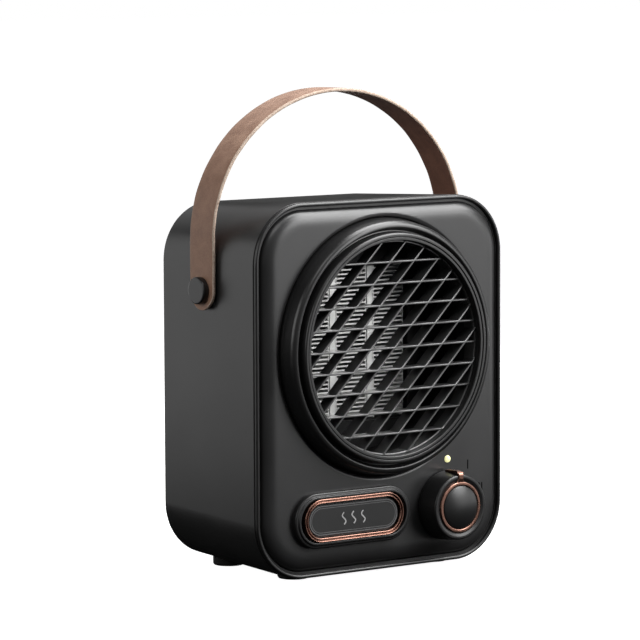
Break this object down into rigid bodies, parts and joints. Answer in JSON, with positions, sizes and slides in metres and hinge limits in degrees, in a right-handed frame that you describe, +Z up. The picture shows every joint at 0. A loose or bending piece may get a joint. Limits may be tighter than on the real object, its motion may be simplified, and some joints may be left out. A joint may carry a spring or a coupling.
{
  "type": "ceramic space heater",
  "caption": "Upright desk fan heater with a round louvred outlet, rotary switch knob, blank nameplate and a pivoting leather carrying strap.",
  "frame": {"origin": "middle of the bounding box, on the surface that the feet stand on", "axes": "+Z up, the outlet and knob face -Y, +X to the right seen from the front; the strap pivots about X through y = 0"},
  "size_m": [0.1654, 0.1192, 0.2403],
  "materials": {
    "shell_plastic": "satin charcoal",
    "panel_plastic": "satin charcoal",
    "bezel_plastic": "semi-gloss grey",
    "grille_plastic": "satin grey",
    "black_plastic": "matte black",
    "knob_plastic": "satin black",
    "copper_trim": "polished rose copper plating",
    "leather": "oiled brown leather with raw edges",
    "button_finish": "satin dark grey",
    "rubber": "matte black",
    "steel": "zinc plated",
    "aluminium": "bare",
    "brass": "plain",
    "bakelite": "cream moulded",
    "lens": "glowing pale green, emissive",
    "board": "green laminate",
    "print": "printed",
    "wire_jacket": "silicone sleeve"
  },
  "bodies": {
    "body": {"shell": "shell_plastic", "front_bezel": "bezel_plastic", "front_panel": "panel_plastic", "outlet_ring": "panel_plastic", "outlet_grille": "grille_plastic", "air_duct": "black_plastic", "core_frame": "black_plastic", "core_brackets": "steel", "heater_fins": "aluminium", "ptc_elements": "aluminium", "core_terminals": "brass", "thermal_cutout": "black_plastic", "thermal_fuse": "bakelite", "fan_motor": "steel", "motor_bearings": "brass", "motor_bracket": "black_plastic", "rear_cover": "black_plastic", "rear_screws": "steel", "bracket_screws": "steel", "core_screws": "steel", "rotary_switch": "bakelite", "switch_nut": "steel", "indicator_lens": "lens", "indicator_led": "board", "scale_marks": "print", "nameplate_surround": "black_plastic", "nameplate_trim": "copper_trim", "nameplate_plate": "black_plastic", "pivot_buttons": "button_finish", "pivot_washers": "black_plastic", "pivot_nuts": "steel", "front_feet": "rubber", "rear_feet": "rubber", "cord_gland": "rubber", "gland_nut": "black_plastic", "terminal_block": "bakelite", "lead_wires": "wire_jacket", "panel_screws": "steel"},
    "knob": {"knob_body": "knob_plastic", "knob_trim": "copper_trim", "knob_cap": "knob_plastic", "switch_shaft": "steel"},
    "handle": {"handle_strap": "leather"},
    "fan": {"fan_impeller": "black_plastic", "fan_shaft": "steel"}
  },
  "joints": [
    {"name": "knob_turn", "type": "hinge", "parent": "body", "child": "knob", "pos_m": [0.0388, -0.05, 0.0307], "axis": [0, 1, 0], "range_deg": [0, 70]},
    {"name": "handle_swing", "type": "hinge", "parent": "body", "child": "handle", "pos_m": [0, 0, 0.1427], "axis": [1, 0, 0], "range_deg": [-90, 35]},
    {"name": "fan_spin", "type": "hinge", "parent": "body", "child": "fan", "pos_m": [0, 0.013, 0.1131], "axis": [0, 1, 0], "continuous": true}
  ]
}
